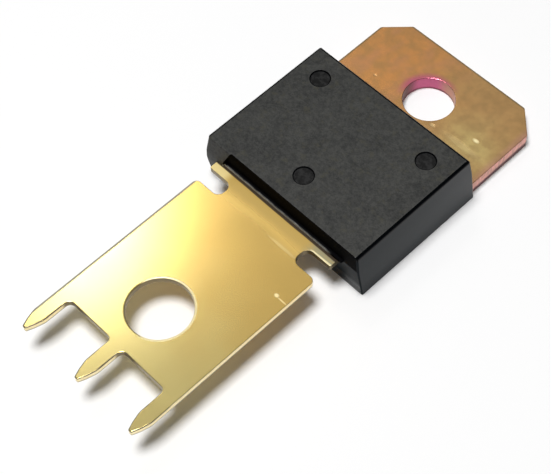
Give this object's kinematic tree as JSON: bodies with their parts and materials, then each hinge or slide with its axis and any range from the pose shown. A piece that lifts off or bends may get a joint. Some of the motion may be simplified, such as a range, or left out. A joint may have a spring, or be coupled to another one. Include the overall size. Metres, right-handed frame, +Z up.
{
  "type": "rectifier diode",
  "caption": "Flat moulded power rectifier diode with a drilled copper mounting tab at one end and a stamped lead with a terminal hole and tapered pins at the other.",
  "frame": {"origin": "centre of the tab's hole on the seating face, the flat underside of the tab and body", "axes": "+X across the width, +Y out along the tab away from the pins, +Z up from the seating face"},
  "size_m": [0.016, 0.0397, 0.0049],
  "materials": {
    "moulding_compound": "charcoal grey epoxy, satin on its sides and finely textured on top",
    "bare_copper": "bare copper, satin, slightly tarnished pink near cut edges",
    "lead_alloy": "yellow copper alloy, satin, smooth rolled faces",
    "silicon": "polished dark grey",
    "solder": "dull grey solder"
  },
  "bodies": {
    "root": {"moulded_body": "moulding_compound", "cathode_base": "bare_copper", "anode_lead": "lead_alloy", "silicon_die": "silicon", "die_solder": "solder", "strap_solder": "solder"}
  },
  "joints": []
}
